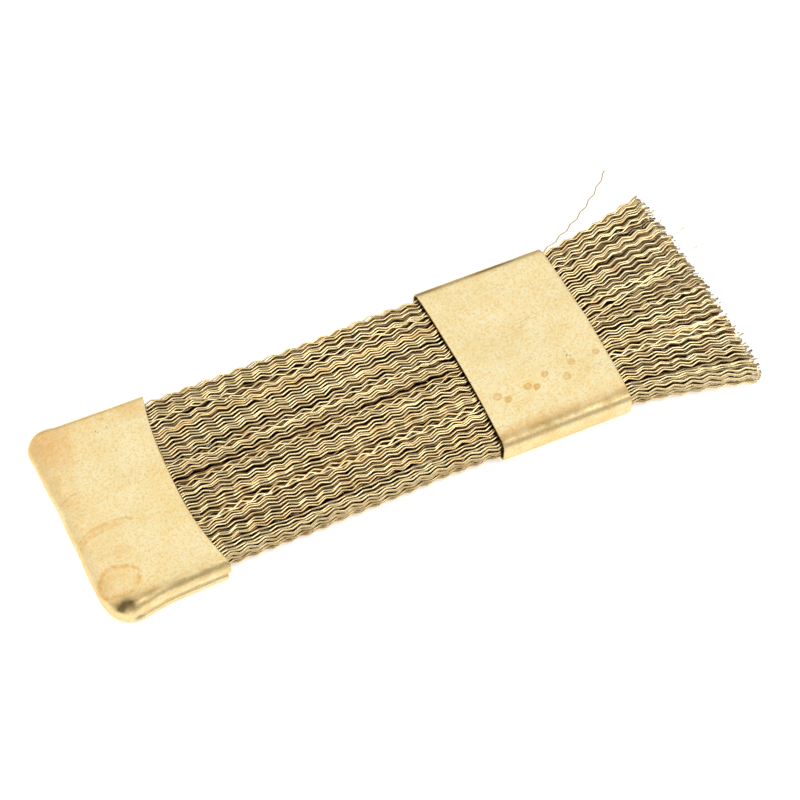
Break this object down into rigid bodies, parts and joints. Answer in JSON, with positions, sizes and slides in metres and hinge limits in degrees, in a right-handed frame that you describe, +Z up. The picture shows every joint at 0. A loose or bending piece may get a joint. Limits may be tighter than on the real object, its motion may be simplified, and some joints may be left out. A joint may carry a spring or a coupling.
{
  "type": "soldering tip cleaning brush",
  "caption": "Flat pocket brush of crimped brass wires held in a drawn brass end cap, with a sliding brass sleeve that sets how far the wire tips fan out.",
  "frame": {"origin": "centre of the brush's length and width, on the surface it lies on", "axes": "+X from the end cap to the wire tips, +Y across the width, +Z up out of the flat face"},
  "size_m": [0.06, 0.0206, 0.0028],
  "materials": {
    "cap_brass": "drawn sheet, brushed, tarnished at the edges",
    "sleeve_brass": "rolled strip, mottled and spotted",
    "wire_brass": "crimped wire, bright on the crests"
  },
  "bodies": {
    "brush_base": {"end_cap": "cap_brass", "root_tuft_mid": "wire_brass", "root_tuft_l1": "wire_brass", "root_tuft_l2": "wire_brass", "root_tuft_l3": "wire_brass", "root_tuft_l4": "wire_brass", "root_tuft_r1": "wire_brass", "root_tuft_r2": "wire_brass", "root_tuft_r3": "wire_brass", "root_tuft_r4": "wire_brass", "tip_tuft_mid": "wire_brass"},
    "sleeve": {"slide_sleeve": "sleeve_brass"},
    "tuft_l1": {"tip_tuft_l1": "wire_brass"},
    "tuft_l2": {"tip_tuft_l2": "wire_brass"},
    "tuft_l3": {"tip_tuft_l3": "wire_brass"},
    "tuft_l4": {"tip_tuft_l4": "wire_brass"},
    "tuft_r1": {"tip_tuft_r1": "wire_brass"},
    "tuft_r2": {"tip_tuft_r2": "wire_brass"},
    "tuft_r3": {"tip_tuft_r3": "wire_brass"},
    "tuft_r4": {"tip_tuft_r4": "wire_brass"}
  },
  "joints": [
    {"name": "sleeve_slide", "type": "slide", "parent": "brush_base", "child": "sleeve", "axis": [1, 0, 0], "range_m": [-0.0254, 0.011]},
    {"name": "tuft_l1_splay", "type": "hinge", "parent": "brush_base", "child": "tuft_l1", "pos_m": [0.0124, 0.00188, 0.00135], "axis": [0, 0, 1], "range_deg": [-2, 4.3]},
    {"name": "tuft_l2_splay", "type": "hinge", "parent": "brush_base", "child": "tuft_l2", "pos_m": [0.0124, 0.00376, 0.00135], "axis": [0, 0, 1], "range_deg": [-3.8, 8.3]},
    {"name": "tuft_l3_splay", "type": "hinge", "parent": "brush_base", "child": "tuft_l3", "pos_m": [0.0124, 0.00564, 0.00135], "axis": [0, 0, 1], "range_deg": [-5.5, 12.3]},
    {"name": "tuft_l4_splay", "type": "hinge", "parent": "brush_base", "child": "tuft_l4", "pos_m": [0.0124, 0.00752, 0.00135], "axis": [0, 0, 1], "range_deg": [-7.2, 16.3]},
    {"name": "tuft_r1_splay", "type": "hinge", "parent": "brush_base", "child": "tuft_r1", "pos_m": [0.0124, -0.00188, 0.00135], "axis": [0, 0, 1], "range_deg": [-4.3, 2]},
    {"name": "tuft_r2_splay", "type": "hinge", "parent": "brush_base", "child": "tuft_r2", "pos_m": [0.0124, -0.00376, 0.00135], "axis": [0, 0, 1], "range_deg": [-8.3, 3.8]},
    {"name": "tuft_r3_splay", "type": "hinge", "parent": "brush_base", "child": "tuft_r3", "pos_m": [0.0124, -0.00564, 0.00135], "axis": [0, 0, 1], "range_deg": [-12.3, 5.5]},
    {"name": "tuft_r4_splay", "type": "hinge", "parent": "brush_base", "child": "tuft_r4", "pos_m": [0.0124, -0.00752, 0.00135], "axis": [0, 0, 1], "range_deg": [-16.3, 7.2]}
  ],
  "couplings": [
    {"joint": "tuft_l1_splay", "follows": "sleeve_slide", "rad_per_m": -2.75},
    {"joint": "tuft_l2_splay", "follows": "sleeve_slide", "rad_per_m": -5.5},
    {"joint": "tuft_l3_splay", "follows": "sleeve_slide", "rad_per_m": -8.25},
    {"joint": "tuft_l4_splay", "follows": "sleeve_slide", "rad_per_m": -11},
    {"joint": "tuft_r1_splay", "follows": "sleeve_slide", "rad_per_m": 2.75},
    {"joint": "tuft_r2_splay", "follows": "sleeve_slide", "rad_per_m": 5.5},
    {"joint": "tuft_r3_splay", "follows": "sleeve_slide", "rad_per_m": 8.25},
    {"joint": "tuft_r4_splay", "follows": "sleeve_slide", "rad_per_m": 11}
  ]
}
